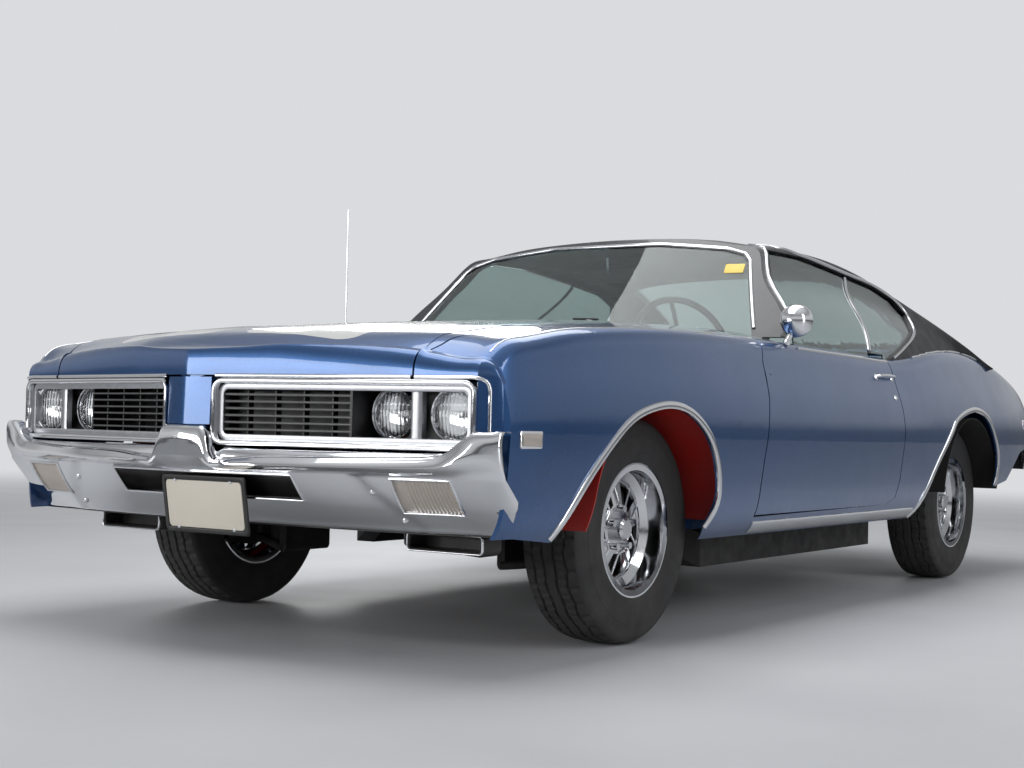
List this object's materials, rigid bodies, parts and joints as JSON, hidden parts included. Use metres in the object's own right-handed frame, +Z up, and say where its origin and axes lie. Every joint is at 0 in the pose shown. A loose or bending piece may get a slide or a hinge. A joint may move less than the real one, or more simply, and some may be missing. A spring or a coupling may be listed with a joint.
{
  "type": "two-door hardtop coupe",
  "caption": "Two-door hardtop coupe with a long striped hood, a black vinyl roof, round headlamps, a heavy chrome bumper, and five-spoke chrome wheels that roll and steer.",
  "frame": {"origin": "on the ground, midway between the bumpers' ends and between the sides", "axes": "+Z up, the front of the car faces -Y, its left side is +X"},
  "size_m": [1.9344, 5.128, 1.46],
  "materials": {
    "blue_paint": "metallic gloss",
    "vinyl": "grained satin",
    "bright_trim": "polished",
    "clear_glass": "clear",
    "red_paint": "gloss",
    "chrome": "polished",
    "black_plastic": "satin",
    "lamp_glass": "ribbed",
    "white_lens": "gloss",
    "red_lens": "gloss",
    "black_paint": "satin",
    "black_metal": "satin",
    "iron": "rough",
    "steel": "satin",
    "seat_vinyl": "satin",
    "wheel_chrome": "polished",
    "tyre": "matte"
  },
  "bodies": {
    "car": {"body_shell": "blue_paint", "cowl": "blue_paint", "fender_left": "blue_paint", "fender_right": "blue_paint", "windshield_frame": "bright_trim", "roof": "vinyl", "windshield": "clear_glass", "rear_window": "clear_glass", "quarter_glass": "clear_glass", "inner_fenders": "red_paint", "grille_surround": "bright_trim", "grilles": "black_plastic", "headlamps": "lamp_glass", "front_bumper": "chrome", "turn_lamps": "white_lens", "front_valance": "black_paint", "radiator": "black_metal", "rear_bumper": "chrome", "tail_lamps": "red_lens", "floor_pan": "black_metal", "chassis_frame": "black_metal", "engine_block": "iron", "gearbox_and_shaft": "iron", "rear_axle": "black_metal", "front_suspension": "black_metal", "exhaust": "steel", "fuel_tank": "black_metal", "front_seats": "seat_vinyl", "rear_seat": "seat_vinyl", "dashboard": "black_plastic", "antenna": "chrome"},
    "left_door": {"door_left": "blue_paint", "door_glass_left": "clear_glass", "door_mirror": "chrome"},
    "right_door": {"door_right": "blue_paint", "door_glass_right": "clear_glass"},
    "hood_panel": {"hood": "blue_paint"},
    "trunk_panel": {"trunk_lid": "blue_paint"},
    "steering": {"steering_wheel": "black_plastic"},
    "left_knuckle": {"knuckle_left": "black_metal"},
    "right_knuckle": {"knuckle_right": "black_metal"},
    "road_wheel_front_left": {"wheel_front_left": "wheel_chrome", "tyre_front_left": "tyre"},
    "road_wheel_front_right": {"wheel_front_right": "wheel_chrome", "tyre_front_right": "tyre"},
    "road_wheel_rear_left": {"wheel_rear_left": "wheel_chrome", "tyre_rear_left": "tyre"},
    "road_wheel_rear_right": {"wheel_rear_right": "wheel_chrome", "tyre_rear_right": "tyre"}
  },
  "joints": [
    {"name": "steer_left", "type": "hinge", "parent": "car", "child": "left_knuckle", "pos_m": [0.64, -1.548, 0.334], "axis": [0, 0, 1], "range_deg": [-30, 30]},
    {"name": "steer_right", "type": "hinge", "parent": "car", "child": "right_knuckle", "pos_m": [-0.64, -1.548, 0.334], "axis": [0, 0, 1], "range_deg": [-30, 30]},
    {"name": "steering_wheel_turn", "type": "hinge", "parent": "car", "child": "steering", "pos_m": [0.37, -0.41, 0.932], "axis": [0, 0.9135, 0.4067], "range_deg": [-450, 450]},
    {"name": "door_left_hinge", "type": "hinge", "parent": "car", "child": "left_door", "pos_m": [0.915, -0.822, 0.65], "axis": [0, 0, -1], "range_deg": [0, 65]},
    {"name": "door_right_hinge", "type": "hinge", "parent": "car", "child": "right_door", "pos_m": [-0.915, -0.822, 0.65], "axis": [0, 0, 1], "range_deg": [0, 65]},
    {"name": "hood_hinge", "type": "hinge", "parent": "car", "child": "hood_panel", "pos_m": [0, -0.742, 1.02], "axis": [-1, 0, 0], "range_deg": [0, 50]},
    {"name": "trunk_hinge", "type": "hinge", "parent": "car", "child": "trunk_panel", "pos_m": [0, 1.635, 1.024], "axis": [1, 0, 0], "range_deg": [0, 70]},
    {"name": "wheel_front_left_spin", "type": "hinge", "parent": "left_knuckle", "child": "road_wheel_front_left", "pos_m": [0.745, -1.548, 0.334], "axis": [1, 0, 0], "continuous": true},
    {"name": "wheel_front_right_spin", "type": "hinge", "parent": "right_knuckle", "child": "road_wheel_front_right", "pos_m": [-0.745, -1.548, 0.334], "axis": [1, 0, 0], "continuous": true},
    {"name": "wheel_rear_left_spin", "type": "hinge", "parent": "car", "child": "road_wheel_rear_left", "pos_m": [0.745, 1.297, 0.334], "axis": [1, 0, 0], "continuous": true},
    {"name": "wheel_rear_right_spin", "type": "hinge", "parent": "car", "child": "road_wheel_rear_right", "pos_m": [-0.745, 1.297, 0.334], "axis": [1, 0, 0], "continuous": true}
  ],
  "couplings": [
    {"joint": "steer_right", "follows": "steer_left", "ratio": 1},
    {"joint": "steering_wheel_turn", "follows": "steer_left", "ratio": 15}
  ]
}
